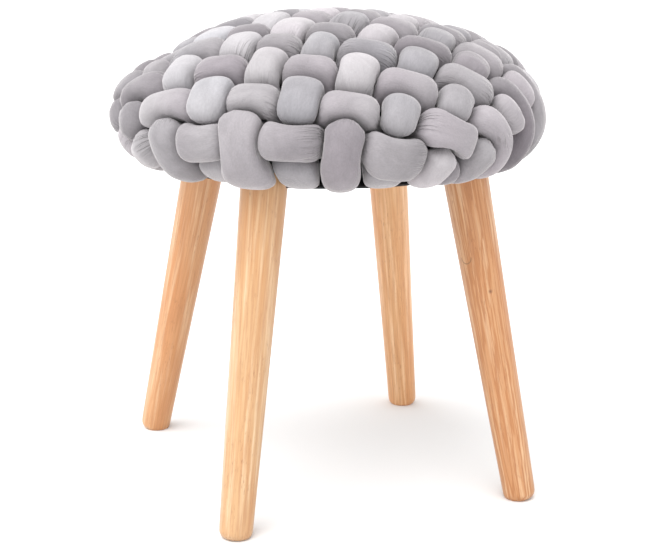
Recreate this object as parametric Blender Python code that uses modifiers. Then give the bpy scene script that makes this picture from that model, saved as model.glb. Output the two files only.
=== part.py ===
"""A round stool: a domed seat woven from stuffed velvet tubes, on four splayed wooden legs.

The seat has an outer skin, a half-ellipsoid with a rounded lower rim, that the tops of the
tubes touch. A net of lines is draped on it, one line for each tube. A tube follows its line,
now over and now under the tubes that it crosses, curls round the rim and ends flat under the
padded base, where the bottom cloth covers it. Tubes are soft, so each section fills what its
neighbours leave it: every ray from the centre ends where the nearest neighbour is as near.

Metres, +Z up, the origin on the floor under the middle of the seat.
"""

import math

import bmesh
import bpy
import numpy as np
from mathutils import Matrix, Vector
from mathutils.bvhtree import BVHTree

# The seat's outer skin
SEAT_RADIUS = 0.200
RIM_Z = 0.3455  # height of the widest ring
DOME_RISE = 0.095  # from the widest ring to the top
RIM_DEPTH = 0.0485  # from the widest ring to the lowest point of the tubes
RIM_WIDTH = 0.0546  # how far the lower rim curls inwards
#   direction in degrees, distance from the top, reach, rise: where the seat is fuller or flatter
BUMPS = (
    (136, 0.185, 0.040, -0.008),
    (0, 0.195, 0.055, 0.006),
    (162, 0.230, 0.050, 0.005),
    (165, 0.275, 0.035, -0.005),
    (-14, 0.232, 0.045, -0.005),
    (-24, 0.282, 0.045, -0.006),
    (-150, 0.282, 0.045, 0.003),
)

# The net of tubes
WEFT_TURN = math.radians(-36.9)  # direction in which the wefts run
WARP_TURN = math.radians(49.9)  # direction in which the warps run
WARP_AT = [-0.215, -0.178, -0.135, -0.086, -0.046, -0.009, 0.027, 0.067, 0.106, 0.148, 0.193]
WEFT_AT = [-0.23, -0.189, -0.149, -0.106, -0.074, -0.024, 0.009]
WEFT_AT += [0.044, 0.078, 0.113, 0.147, 0.182, 0.216, 0.251]
WARP_FLARE = 6.1  # 1/m2, how the warps spread towards the ends
WEFT_GATHER = 10.5  # 1/m2, how the wefts close up towards the sides
GATHER_REACH = 0.19  # the gathering grows no further than this from the middle
LAST_CROSSING = 0.272  # distance over the skin past which tubes no longer cross

# how far the front crossings lie off the even net, and how full the upper tube is there in %
#    warp 01   02   03   04   05   06   07   08   09   10   11
ACROSS_MM = (
    ( -1,  -1,   0,   1,  -2,  -1,  -2,   5,   3,   1,  -1),  # weft 01
    ( -1,  -1,  -1,   2,   6,   6,   4,   3,  -2,  -1,  -3),  # weft 02
    ( -2,  -3,   1,   0,   1,   3,   3,  -1,  -1,  -3,  -4),  # weft 03
    ( -1,  -1,  -1,   4,   4,   2,   0,  -2,   1,   2,   5),  # weft 04
    ( -1,  -1,  -1,  -1,  -3,  -3,  -3,  -4,   1,   1,   5),  # weft 05
    (  0,   0,   0,   0,  -1,  -2,  -2,   1,   2,   2,   3),  # weft 06
    (  0,   0,   0,   0,  -1,  -2,  -1,  -2,   0,   1,   1),  # weft 07
    (  0,   0,   0,   0,   0,   0,   0,   0,   0,   0,   0),  # weft 08
)
ALONG_MM = (
    ( -1,  -1,  -1,   1,  -4,   3,  -2,   3,  -6,   4,   4),  # weft 01
    ( -1,  -1,  -2,   4,   1,   1,   0,   0,  -6,  -2,   5),  # weft 02
    ( -1,  -2,   2,   0,   0,  -1,   1,   0,  -2,  -4,   3),  # weft 03
    ( -1,  -1,  -1,   1,   1,  -1,   1,   1,   3,  -2,   3),  # weft 04
    (  0,   0,   0,  -1,  -2,  -2,  -1,  -1,   3,   2,   2),  # weft 05
    (  0,   0,   0,   0,  -1,  -1,   0,   1,   2,   3,   3),  # weft 06
    (  0,   0,   0,   0,   0,  -1,   0,   0,   1,   1,   1),  # weft 07
    (  0,   0,   0,   0,   0,   0,   0,   0,   0,   0,   0),  # weft 08
)
FULLNESS = (
    (100, 100, 100,  98,  92, 106,  92,  94, 102,  90, 100),  # weft 01
    (100, 100,  98,  90, 112,  94, 104,  92,  98, 100,  90),  # weft 02
    (100,  96,  90,  98,  96,  96,  92, 102,  94,  98,  94),  # weft 03
    (100, 100,  90,  94, 102,  90,  96,  90, 102, 102, 112),  # weft 04
    (100, 100, 100, 108,  90, 106,  92,  98, 102, 102,  96),  # weft 05
    (100, 100, 100, 100, 100, 100, 100, 100, 100, 100, 100),  # weft 06
    (100, 100, 100, 100, 100, 100, 100, 100, 100, 100, 100),  # weft 07
    (100, 100, 100, 100, 100, 100, 100, 100, 100, 100, 100),  # weft 08
)
SHIFTS = np.zeros((11, 14, 2))
SHIFTS[:, :8] = np.transpose((ACROSS_MM, ALONG_MM), (2, 1, 0)) * 1e-3
FULL = np.ones((11, 14))
FULL[:, :8] = np.transpose(FULLNESS) * 1e-2

# Depth of a tube's centre under the skin, where it is over and where it is under the others
#          distance from the top, depth over, depth under, half-width, half-height
RIM_TABLE = (
    (0.000, 0.0165, 0.0345, 0.0225, 0.0172),
    (0.200, 0.0165, 0.0345, 0.0225, 0.0172),
    (0.240, 0.0165, 0.0345, 0.0230, 0.0170),
    (0.262, 0.0165, 0.0310, 0.0230, 0.0165),
    (0.285, 0.0155, 0.0230, 0.0210, 0.0145),
    (0.298, 0.0135, 0.0170, 0.0170, 0.0098),
    (0.3055, 0.0125, 0.0135, 0.0128, 0.0060),
    (0.313, 0.0133, 0.0135, 0.0105, 0.0045),
    (0.3215, 0.0142, 0.0142, 0.0085, 0.0040),
)
TUCK_END = 0.3215  # distance over the skin at which a tube ends
TUCK_END_AT_LEG = 0.3055
LEG_REACH = math.radians(12)  # tubes this near to a leg's direction end sooner
END_SPACING = math.radians(6.0)
SECTION_POWER = 2.2  # 2 is an ellipse, more is boxier
SLIM_BETWEEN = 0.97  # a tube's width halfway between two crossings, against its full width
SIDES = 7
FINE = 20  # points of a centre line between two crossings
SHOULDERS = (6, 14)  # places of rings between two crossings, out of FINE
TAIL_POINTS = 60
TAIL_RUNS = (0.238, 0.262, 0.284, 0.297, 0.3095)  # distances of a tail's rings from the top
TAIL_CLEAR = (0.012, 0.006)  # and how far they keep from the last crossing and from the end
AXIS_POINTS = 6
CONTACT_GAP = 0.0005
THINNEST = 0.0015
CLEAR = 0.0003
EASE = 0.96

# The padded base and the cloth under it
BASE_DEPTH = 0.0415  # of the pad under the skin
BASE_SKIRT = ((0.152, 0.323), (0.147, 0.316))  # radius and height of its turn to the underside
BASE_UNDERSIDE_Z = 0.316
BASE_RINGS = 11
BASE_SEGMENTS = 40
CLOTH_RADIUS = 0.150
CLOTH_THICKNESS = 0.0015
CLOTH_Z = 0.3045  # its lower face
CLOTH_SEGMENTS = 48

# The legs
LEG_TOP_Z = BASE_UNDERSIDE_Z - CLEAR
LEG_TOP_RADIUS = 0.0207
LEG_FOOT_RADIUS = 0.0147
LEG_ROUNDING = 0.008
LEG_ROUNDING_STEPS = 4
LEG_SINK = 0.0016  # how far the level cut at the floor takes the end of the foot's axis off
LEG_SPREAD_TOP = 0.132  # from the middle to each leg's axis at its top
LEG_SEGMENTS = 28
LEG_OVERRUN = 0.03  # extra length that the level cut at the top takes off
HOLE_EASE = 0.0006  # of the cloth round each leg
HOLE_SEGMENTS = 20
#        name, direction of the foot, distance of the foot from the middle
LEGS = (
    ("leg_front_right", -46.5, 0.198),
    ("leg_front_left", -135.0, 0.195),
    ("leg_back_left", 132.0, 0.206),
    ("leg_back_right", 45.0, 0.192),
)


def start_clean():
    for item in list(bpy.data.objects):
        bpy.data.objects.remove(item)


def new_collection(name):
    group = bpy.data.collections.new(name)
    bpy.context.scene.collection.children.link(group)
    return group


def material(name, colour, roughness, sheen=0.0):
    made = bpy.data.materials.new(name)
    made.use_nodes = True
    shader = made.node_tree.nodes["Principled BSDF"]
    shader.inputs["Base Color"].default_value = (*colour, 1.0)
    shader.inputs["Roughness"].default_value = roughness
    shader.inputs["Metallic"].default_value = 0.0
    shader.inputs["Sheen Weight"].default_value = sheen
    return made


# --- the seat's skin ---------------------------------------------------------------------


def skin_profile():
    """(distance from the top, radius, height) along the skin, from the top to under the rim"""
    turn = np.linspace(0, np.pi / 2, 241)
    radius = np.concatenate([SEAT_RADIUS * np.sin(turn),
                             SEAT_RADIUS - RIM_WIDTH * (1 - np.cos(turn[1:]))])
    height = np.concatenate([DOME_RISE * np.cos(turn), -RIM_DEPTH * np.sin(turn[1:])])
    step = np.hypot(np.diff(radius), np.diff(height))
    return np.concatenate([[0], np.cumsum(step)]), radius, height + RIM_Z


SKIN_RUN, SKIN_RADIUS, SKIN_HEIGHT = skin_profile()
SKIN_SLOPE_R = np.gradient(SKIN_RADIUS, SKIN_RUN)
SKIN_SLOPE_Z = np.gradient(SKIN_HEIGHT, SKIN_RUN)


def on_skin(flat):
    """the skin's points and outward normals at places given as distance and direction"""
    run = np.linalg.norm(flat, axis=-1) + 1e-9
    away = flat / run[..., None]
    radius = np.interp(run, SKIN_RUN, SKIN_RADIUS)
    height = np.interp(run, SKIN_RUN, SKIN_HEIGHT)
    out = -np.interp(run, SKIN_RUN, SKIN_SLOPE_Z)
    up = np.interp(run, SKIN_RUN, SKIN_SLOPE_R)
    size = np.hypot(out, up)
    points = np.concatenate([away * radius[..., None], height[..., None]], axis=-1)
    normals = np.concatenate([away * (out / size)[..., None], (up / size)[..., None]], axis=-1)
    return points, normals, run


# --- the net -----------------------------------------------------------------------------


def fuller(flat):
    """how far the upper tubes rise out of the even skin there"""
    total = np.zeros(flat.shape[:-1])
    for direction, distance, reach, rise in BUMPS:
        turn = math.radians(direction)
        off = flat - distance * np.array([math.cos(turn), math.sin(turn)])
        total += rise * np.exp(-(off**2).sum(-1) / reach**2)
    return total


ACROSS = np.array([math.cos(WEFT_TURN), math.sin(WEFT_TURN)])
ALONG = np.array([math.cos(WARP_TURN), math.sin(WARP_TURN)])


def net_place(across, along):
    """where warp line `across` meets weft line `along`, on the skin rolled out flat"""
    across = np.asarray(across, float)
    along = np.asarray(along, float)
    reach = across**2 / (1 + (np.abs(across) / GATHER_REACH) ** 6) ** (1 / 3)
    x = across * (1 + WARP_FLARE * along**2)
    y = along * (1 - WEFT_GATHER * reach)
    return x[..., None] * ACROSS + y[..., None] * ALONG


class Tube:
    """one stuffed tube: its line on the flat skin, how high it rides, its sections"""

    def __init__(self, name, is_warp, number):
        self.name = name
        self.is_warp = is_warp
        self.number = number
        self.at = (WARP_AT if is_warp else WEFT_AT)[number]
        self.others = WEFT_AT if is_warp else WARP_AT
        self.shifts = SHIFTS[number] if is_warp else SHIFTS[:, number]
        full = FULL[number] if is_warp else FULL[:, number]
        met = [k for k, place in enumerate(self.others)
               if np.linalg.norm(self.flat(place)) <= LAST_CROSSING]
        self.crossings = [(self.others[k], self.sign(k)) for k in met]
        self.full = [full[k] if self.sign(k) > 0 else 1.0 for k in met]

    def sign(self, other):
        """+1 where this tube passes over, -1 where it passes under"""
        weft_is_over = (self.number + other) % 2 == 0
        return 1 if weft_is_over != self.is_warp else -1

    def flat(self, place):
        """the line's place on the flat skin, with the shifts of its crossings eased in"""
        place = np.asarray(place, float)
        count = np.interp(place, self.others, np.arange(len(self.others)))
        before = np.minimum(count.astype(int), len(self.others) - 2)
        ease = count - before
        ease = (ease**2 * (3 - 2 * ease))[..., None]
        shift = self.shifts[before] * (1 - ease) + self.shifts[before + 1] * ease
        net = net_place(self.at, place) if self.is_warp else net_place(place, self.at)
        return net + shift[..., :1] * ACROSS + shift[..., 1:] * ALONG

    def leaving(self, last):
        """direction in which the line passes the last-crossing ring, at its first or last end"""
        place = self.crossings[-1 if last else 0][0]
        step = 0.001 if last else -0.001
        while np.linalg.norm(self.flat(place)) < LAST_CROSSING:
            place += step
        x, y = self.flat(place)
        return math.atan2(y, x)

    def tail(self, last, turn):
        """a smooth line from the end crossing to the tuck under the base"""
        place = self.crossings[-1 if last else 0][0]
        step = 0.001 if last else -0.001
        start = self.flat(place)
        heading = start - self.flat(place - step)
        heading /= np.linalg.norm(heading)
        near_leg = min(abs(wrap(turn - math.radians(leg[1]))) for leg in LEGS) < LEG_REACH
        reach = TUCK_END_AT_LEG if near_leg else TUCK_END
        away = np.array([math.cos(turn), math.sin(turn)])
        finish = away * reach
        span = np.linalg.norm(finish - start)
        t = np.linspace(0, 1, TAIL_POINTS + 1)[1:, None]
        return ((2 * t**3 - 3 * t**2 + 1) * start + (t**3 - 2 * t**2 + t) * heading * span
                + (3 * t**2 - 2 * t**3) * finish + (t**3 - t**2) * away * span)

    def lay(self, first_turn, last_turn):
        """works out the centre line: flat places and how far over (+1) or under (-1) it rides"""
        places, ride, full = [], [], []
        for k, ((here, side), (there, _)) in enumerate(zip(self.crossings, self.crossings[1:])):
            part = np.arange(FINE) / FINE
            places += list(self.flat(here + (there - here) * part))
            ride += list(side * np.cos(np.pi * part))
            ease = (1 - np.cos(np.pi * part)) / 2
            full += list(self.full[k] * (1 - ease) + self.full[k + 1] * ease)
        places.append(self.flat(self.crossings[-1][0]))
        ride.append(self.crossings[-1][1])
        full.append(self.full[-1])
        head = self.tail(False, first_turn)[::-1]
        tail = self.tail(True, last_turn)
        flat = np.concatenate([head, places, tail])
        ride = np.concatenate([np.full(len(head), self.crossings[0][1]), ride,
                               np.full(len(tail), self.crossings[-1][1])])
        full = np.concatenate([np.full(len(head), self.full[0]), full,
                               np.full(len(tail), self.full[-1])])
        skin, normal, run = on_skin(flat)
        table = np.array(RIM_TABLE).T
        over, under, self.width, self.height = (np.interp(run, table[0], row) for row in table[1:])
        depth = ((over - fuller(flat)) * (1 + ride) + under * (1 - ride)) / 2
        self.width = self.width * full * (1 - (1 - SLIM_BETWEEN) * (1 - ride**2))
        self.centre = skin - normal * depth[:, None]
        along = np.gradient(self.centre, axis=0)
        along /= np.linalg.norm(along, axis=1)[:, None]
        self.side = np.cross(normal, along)
        self.side /= np.linalg.norm(self.side, axis=1)[:, None]
        self.up = np.cross(along, self.side)
        self.normal = normal
        self.depth = depth
        self.stations = self.choose_stations(len(head), len(tail), run)
        self.axis = self.between_stations()

    def choose_stations(self, head, tail, run):
        """places of the rings: at each end, on each tail, at each crest and on its shoulders"""
        last = len(run) - tail - 1
        chosen = [0] + [place for place in self.tail_rings(run[:head + 1])[::-1]]
        for k, (_, side) in enumerate(self.crossings[:-1]):
            if side > 0:
                chosen.append(head + k * FINE)
            chosen += [head + k * FINE + step for step in SHOULDERS]
        if self.crossings[-1][1] > 0:
            chosen.append(last)
        chosen += [len(run) - 1 - place for place in self.tail_rings(run[last:][::-1])]
        return np.array(chosen + [len(run) - 1])

    def tail_rings(self, run):
        """places of the rings between a tail's end and the last crossing, the crossing's first"""
        places = [int(np.abs(run - wanted).argmin()) for wanted in TAIL_RUNS
                  if run[-1] + TAIL_CLEAR[0] < wanted < run[0] - TAIL_CLEAR[1]]
        return places

    def between_stations(self):
        """points on the straight runs from station to station"""
        ends = self.centre[self.stations]
        part = np.arange(AXIS_POINTS)[None, :, None] / AXIS_POINTS
        return (ends[:-1, None] * (1 - part) + ends[1:, None] * part).reshape(-1, 3)


def wrap(angle):
    return (angle + math.pi) % (2 * math.pi) - math.pi


def spread_ends(turns):
    """moves the directions of the tube ends apart, in order, to at least the end spacing"""
    order = np.argsort(turns)
    sorted_turns = np.array(turns)[order]
    for _ in range(400):
        gap = np.diff(np.append(sorted_turns, sorted_turns[0] + 2 * np.pi))
        push = np.maximum(END_SPACING - gap, 0) / 2
        sorted_turns += np.roll(push, 1) - push
    spread = np.empty(len(turns))
    spread[order] = sorted_turns
    return spread


def weave():
    tubes = [Tube(f"warp_{n + 1:02d}", True, n) for n in range(len(WARP_AT))]
    tubes += [Tube(f"weft_{n + 1:02d}", False, n) for n in range(len(WEFT_AT))]
    turns = spread_ends([tube.leaving(last) for tube in tubes for last in (False, True)])
    for n, tube in enumerate(tubes):
        tube.lay(turns[2 * n], turns[2 * n + 1])
    return tubes


# --- sections ----------------------------------------------------------------------------


def section_radii(tube, tubes, fixed, at):
    """how far the tube reaches along each ray of its section at the stations `at`"""
    angle = np.pi / 2 + np.arange(SIDES) * 2 * np.pi / SIDES
    across, high = np.cos(angle), np.sin(angle)
    ray = across[:, None] * tube.side[at][:, None] + high[:, None] * tube.up[at][:, None]
    free = ((np.abs(across) / tube.width[at][:, None]) ** SECTION_POWER
            + (np.abs(high) / tube.height[at][:, None]) ** SECTION_POWER) ** (-1 / SECTION_POWER)
    to_pad = np.maximum(BASE_DEPTH - CLEAR - tube.depth[at], 0.003)
    down = -(ray * tube.normal[at][:, None]).sum(-1)
    radius = np.where(down > 1e-3, np.minimum(free, to_pad[:, None] / np.maximum(down, 1e-3)), free)
    for other in tubes:
        if other is tube:
            continue
        apart = other.axis[None] - tube.centre[at][:, None]
        far = (apart**2).sum(-1)
        if far.min() > 0.06**2:
            continue
        facing = np.einsum("skd,sqd->skq", ray, apart)
        meet = np.where(facing > 1e-6, far[:, None] / (2 * np.maximum(facing, 1e-6)), np.inf)
        radius = np.minimum(radius, meet.min(-1) - CONTACT_GAP)
    for solid in fixed:
        for ring, side in np.ndindex(radius.shape):
            reach = solid.ray_cast(tube.centre[at[ring]], ray[ring, side], radius[ring, side])[3]
            if reach is not None:
                radius[ring, side] = reach - CONTACT_GAP
    return ray, np.maximum(radius, THINNEST)


class Loft:
    """rings of points along a tube, closed at both ends"""

    def __init__(self, tube, tubes, fixed):
        self.name = tube.name
        self.centre = tube.centre[tube.stations]
        self.ray, self.radius = section_radii(tube, tubes, fixed, tube.stations)
        rings = len(self.centre)
        self.faces = []
        for ring in range(rings - 1):
            for side in range(SIDES):
                one, two = ring * SIDES + side, ring * SIDES + (side + 1) % SIDES
                self.faces.append((one, two + SIDES, one + SIDES))
                self.faces.append((one, two, two + SIDES))
        first, last = rings * SIDES, rings * SIDES + 1
        for side in range(SIDES):
            after = (side + 1) % SIDES
            self.faces.append((first, after, side))
            self.faces.append((last, (rings - 1) * SIDES + side, (rings - 1) * SIDES + after))

    def points(self, extra=0.0):
        rings = self.centre[:, None] + self.ray * (self.radius + extra)[..., None]
        return np.concatenate([rings.reshape(-1, 3), self.centre[:1], self.centre[-1:]])

    def tree(self, extra):
        return BVHTree.FromPolygons(self.points(extra).tolist(), self.faces)


def ease_apart(lofts, fixed):
    """draws in the points of faces that meet a neighbour, until all the tubes are clear"""
    for _ in range(80):
        trees = [loft.tree(CLEAR / 2) for loft in lofts]
        wide_trees = [loft.tree(CLEAR) for loft in lofts]
        boxes = [(loft.points().min(0) - CLEAR, loft.points().max(0) + CLEAR) for loft in lofts]
        touched = [set() for _ in lofts]
        for one in range(len(lofts)):
            for two in range(one + 1, len(lofts)):
                if (boxes[one][0] > boxes[two][1]).any() or (boxes[two][0] > boxes[one][1]).any():
                    continue
                for a, b in trees[one].overlap(trees[two]):
                    touched[one].update(lofts[one].faces[a])
                    touched[two].update(lofts[two].faces[b])
            for solid in fixed:
                for a, _ in wide_trees[one].overlap(solid):
                    touched[one].update(lofts[one].faces[a])
        if not any(touched):
            return
        for loft, points in zip(lofts, touched):
            on_rings = [p for p in points if p < loft.radius.size]
            loft.radius.flat[on_rings] *= EASE


# --- base, cloth and legs ----------------------------------------------------------------


def turned(name, profile, steps, surface, group):
    """a solid of revolution; the profile runs down its outer side, from axis to axis"""
    mesh = bpy.data.meshes.new(name)
    edges = [(k, k + 1) for k in range(len(profile) - 1)]
    mesh.from_pydata([(x, 0.0, z) for x, z in profile], edges, [])
    mesh.materials.append(surface)
    item = bpy.data.objects.new(name, mesh)
    group.objects.link(item)
    screw = item.modifiers.new("turned", "SCREW")
    screw.steps = screw.render_steps = steps
    screw.use_merge_vertices = True
    screw.merge_threshold = 1e-5
    screw.use_smooth_shade = True
    return item


def cut(item, cutter, operation):
    step = item.modifiers.new("cut", "BOOLEAN")
    step.operation = operation
    step.solver = "EXACT"
    step.object = cutter


def from_bmesh(name, shape, group):
    mesh = bpy.data.meshes.new(name)
    shape.to_mesh(mesh)
    shape.free()
    item = bpy.data.objects.new(name, mesh)
    group.objects.link(item)
    return item


def leg_frame(turn, reach):
    """the leg's own frame, with +Z up its axis from the floor, and its length"""
    away = Vector((math.cos(math.radians(turn)), math.sin(math.radians(turn)), 0))
    axis = away * (LEG_SPREAD_TOP - reach) + Vector((0, 0, LEG_TOP_Z))
    lean = axis.to_track_quat("Z", "Y").to_matrix().to_4x4()
    return Matrix.Translation(away * reach) @ lean, axis.length


def leg_radius(part):
    return LEG_FOOT_RADIUS + (LEG_TOP_RADIUS - LEG_FOOT_RADIUS) * part


def make_base(black, stool):
    """a board and its domed pad under black cloth, one closed body"""
    run = np.linspace(0, SKIN_RUN[240], BASE_RINGS)
    directions = np.stack([run, np.zeros(BASE_RINGS)], axis=-1)
    skin, normal, _ = on_skin(directions)
    pad = skin - normal * BASE_DEPTH
    profile = [(x, z) for x, _, z in pad.tolist()]
    profile[0] = (0.0, profile[0][1])
    profile += [*BASE_SKIRT, (0.0, BASE_UNDERSIDE_Z)]
    return turned("seat_base", profile, BASE_SEGMENTS, black, stool)


def make_leg(name, turn, reach, slab, wood, stool):
    """a turned, tapered leg with a rounded foot, cut level at the floor and under the base"""
    frame, length = leg_frame(turn, reach)
    top = 1 + LEG_OVERRUN / length
    foot = leg_radius(0.0)
    profile = [(0.0, length * top), (leg_radius(top), length * top)]
    for k in range(LEG_ROUNDING_STEPS + 1):
        angle = k / LEG_ROUNDING_STEPS * math.pi / 2
        profile.append((foot - LEG_ROUNDING * (1 - math.cos(angle)),
                        LEG_ROUNDING * (1 - math.sin(angle)) - LEG_SINK))
    profile.append((0.0, -LEG_SINK))
    leg = turned(name, profile, LEG_SEGMENTS, wood, stool)
    leg.matrix_world = frame
    cut(leg, slab, "INTERSECT")
    return leg


def make_cloth(black, stool, cutters):
    """the cloth under the seat, over the tube ends, with a hole round each leg"""
    disc = bmesh.new()
    bmesh.ops.create_cone(disc, cap_ends=True, segments=CLOTH_SEGMENTS, radius1=CLOTH_RADIUS,
                          radius2=CLOTH_RADIUS, depth=CLOTH_THICKNESS,
                          matrix=Matrix.Translation((0, 0, CLOTH_Z + CLOTH_THICKNESS / 2)))
    cloth = from_bmesh("bottom_cloth", disc, stool)
    cloth.data.materials.append(black)
    for name, turn, reach in LEGS:
        frame, length = leg_frame(turn, reach)
        cone = bmesh.new()
        bmesh.ops.create_cone(cone, cap_ends=True, segments=HOLE_SEGMENTS,
                              radius1=leg_radius(0.5) + HOLE_EASE,
                              radius2=leg_radius(1.5) + HOLE_EASE, depth=length,
                              matrix=frame @ Matrix.Translation((0, 0, length)))
        hole = from_bmesh(name.replace("leg", "hole"), cone, cutters)
        hole.display_type = "WIRE"
        cut(cloth, hole, "DIFFERENCE")
    return cloth


def make_slab(cutters):
    """the space between the floor and the base, which the legs fill"""
    box = bmesh.new()
    bmesh.ops.create_cube(box, size=1.0, matrix=Matrix.Translation((0, 0, LEG_TOP_Z / 2))
                          @ Matrix.Diagonal((1, 1, LEG_TOP_Z, 1)))
    slab = from_bmesh("level_cuts", box, cutters)
    slab.display_type = "WIRE"
    return slab


def solid_tree(item):
    graph = bpy.context.evaluated_depsgraph_get()
    mesh = item.evaluated_get(graph).to_mesh()
    points = [item.matrix_world @ vertex.co for vertex in mesh.vertices]
    return BVHTree.FromPolygons(points, [tuple(face.vertices) for face in mesh.polygons])


def make_tubes(fixed, velvet, stool):
    tubes = weave()
    lofts = [Loft(tube, tubes, fixed) for tube in tubes]
    ease_apart(lofts, fixed)
    for loft in lofts:
        mesh = bpy.data.meshes.new(loft.name)
        mesh.from_pydata(loft.points().tolist(), [], loft.faces)
        mesh.materials.append(velvet)
        mesh.shade_smooth()
        stool.objects.link(bpy.data.objects.new(loft.name, mesh))


def centre(items):
    """moves the stool so that the middle of its bounding box is over the origin"""
    bpy.context.view_layer.update()
    graph = bpy.context.evaluated_depsgraph_get()
    points = np.array([item.matrix_world @ vertex.co for item in items
                       for vertex in item.evaluated_get(graph).to_mesh().vertices])
    middle = (points.min(0) + points.max(0)) / 2
    for item in bpy.data.objects:
        item.location.x -= middle[0]
        item.location.y -= middle[1]


def main():
    start_clean()
    stool = new_collection("woven_stool")
    cutters = new_collection("cutters")
    cutters.hide_render = True
    velvet = material("velvet", (0.55, 0.53, 0.55), 0.85, 0.3)
    black = material("black_cloth", (0.02, 0.02, 0.022), 0.9, 0.1)
    wood = material("wood", (0.72, 0.50, 0.31), 0.5)
    slab = make_slab(cutters)
    fixed = [make_base(black, stool), make_cloth(black, stool, cutters)]
    fixed += [make_leg(name, turn, reach, slab, wood, stool) for name, turn, reach in LEGS]
    bpy.context.view_layer.update()
    make_tubes([solid_tree(item) for item in fixed], velvet, stool)
    centre(stool.objects)


main()
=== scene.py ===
"""Looks of a round stool: a domed seat woven from stuffed velvet tubes, on turned wooden legs.

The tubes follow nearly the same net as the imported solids, in finer steps. Each section is
worked out ray by ray: the filling pushes the velvet outwards until it meets a neighbour that
pushes back, so the pillows bulge between the crossings and are pinched where they dive. Where
a tube is squeezed hardest, it still reaches into its neighbours inside the weave.

Metres, +Z up, the origin on the floor under the middle of the seat.
"""

import math

import bmesh
import bpy
import numpy as np
from mathutils import Matrix, Vector


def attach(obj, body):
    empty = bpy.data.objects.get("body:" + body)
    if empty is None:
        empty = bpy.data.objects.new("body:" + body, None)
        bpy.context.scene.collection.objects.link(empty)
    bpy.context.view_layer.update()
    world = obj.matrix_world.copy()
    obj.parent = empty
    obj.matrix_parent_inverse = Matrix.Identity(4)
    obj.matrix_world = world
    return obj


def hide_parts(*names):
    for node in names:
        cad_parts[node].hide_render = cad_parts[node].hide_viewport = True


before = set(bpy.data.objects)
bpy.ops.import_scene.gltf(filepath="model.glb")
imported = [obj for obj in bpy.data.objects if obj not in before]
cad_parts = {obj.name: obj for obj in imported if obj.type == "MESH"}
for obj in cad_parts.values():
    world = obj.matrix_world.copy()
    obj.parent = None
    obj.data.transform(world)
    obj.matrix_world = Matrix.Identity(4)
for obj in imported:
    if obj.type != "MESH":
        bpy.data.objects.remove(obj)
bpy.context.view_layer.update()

# --- sizes: skin, base, cloth and legs as packed; the net was fitted -------------------------

SEAT_RADIUS = 0.200
RIM_Z = 0.3455
DOME_RISE = 0.095
RIM_DEPTH = 0.0485
RIM_WIDTH = 0.0546
# where the seat is fuller or flatter
#   direction in degrees, distance from the top, reach, rise
BUMPS = (
    (136, 0.185, 0.040, -0.007),
    (162, 0.158, 0.042, -0.010),
    (0, 0.195, 0.055, 0.006),
    (162, 0.230, 0.050, 0.005),
    (165, 0.275, 0.035, -0.005),
    (-14, 0.232, 0.045, -0.005),
    (-24, 0.282, 0.045, -0.006),
    (-150, 0.282, 0.045, 0.003),
)
MIDDLE = (-0.0017, -0.0002)  # of the seat's skin, against the middle of the bounding box

WEFT_TURN = math.radians(-36.9)
WARP_TURN = math.radians(49.9)
WARP_AT = [-0.218, -0.181, -0.14, -0.086, -0.047, -0.01, 0.027, 0.066, 0.107, 0.148, 0.193]
WEFT_AT = [-0.23, -0.19, -0.145, -0.103, -0.069, -0.02, 0.013]
WEFT_AT += [0.047, 0.082, 0.116, 0.151, 0.185, 0.22, 0.254]
WARP_FLARE = 6.2
WEFT_GATHER = 10.1
GATHER_REACH = 0.19
LAST_CROSSING = 0.272

# how far the front crossings lie off the even net, and how full the upper tube is there in %
#    warp 01   02   03   04   05   06   07   08   09   10   11
ACROSS_MM = (
    (  0,   0,   0,   2,   0,   0,   0,   4,   5,   2,   0),  # weft 01
    ( -1,  -1,  -1,   3,   6,   7,   4,   3,  -1,  -1,  -2),  # weft 02
    ( -1,  -3,   0,  -1,   1,   2,   2,  -1,  -2,  -2,  -3),  # weft 03
    ( -1,  -1,  -1,   4,   3,   0,  -2,  -2,   0,   2,   4),  # weft 04
    (  0,  -1,  -1,  -2,  -4,  -4,  -2,  -4,   1,   1,   6),  # weft 05
    (  0,   0,   0,   0,  -1,  -2,  -1,   0,   1,   2,   3),  # weft 06
    (  0,   0,   0,   0,  -1,  -2,  -1,  -2,  -1,   0,   1),  # weft 07
    (  0,   0,   0,   0,   0,   0,   0,   0,   0,   0,   0),  # weft 08
)
ALONG_MM = (
    (  0,  -1,   0,   1,  -5,   3,  -4,   3,  -3,   4,   3),  # weft 01
    ( -1,  -1,  -2,   4,  -1,   3,  -2,   1,  -7,  -4,   3),  # weft 02
    ( -1,  -1,   2,   0,   0,   1,   1,   0,  -1,  -4,   3),  # weft 03
    (  0,   0,   1,   1,   1,  -1,  -1,   1,   2,  -2,   3),  # weft 04
    (  0,   0,   0,  -1,  -2,  -1,   0,  -1,   3,   2,   3),  # weft 05
    (  0,   0,   0,   0,  -1,   0,   0,   1,   2,   2,   3),  # weft 06
    (  0,   0,   0,   0,   0,  -1,   0,   0,   1,   1,   1),  # weft 07
    (  0,   0,   0,   0,   0,   0,   0,   0,   0,   0,   0),  # weft 08
)
FULLNESS = (
    (100, 100, 100,  76,  76, 124,  74,  72, 124,  62, 100),  # weft 01
    (100, 100,  62,  62, 124,  62, 124,  62,  64, 124,  62),  # weft 02
    (100,  62,  62,  66,  66,  66,  62,  86,  62,  62,  62),  # weft 03
    (100, 100,  62,  90, 124,  62,  62,  62,  94,  80, 124),  # weft 04
    (100, 100, 100, 124,  62, 106,  62,  68,  68,  78,  62),  # weft 05
    (100, 100, 100, 100, 100, 100, 100, 100, 100, 100, 100),  # weft 06
    (100, 100, 100, 100, 100, 100, 100, 100, 100, 100, 100),  # weft 07
    (100, 100, 100, 100, 100, 100, 100, 100, 100, 100, 100),  # weft 08
)
SHIFTS = np.zeros((11, 14, 2))
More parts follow.
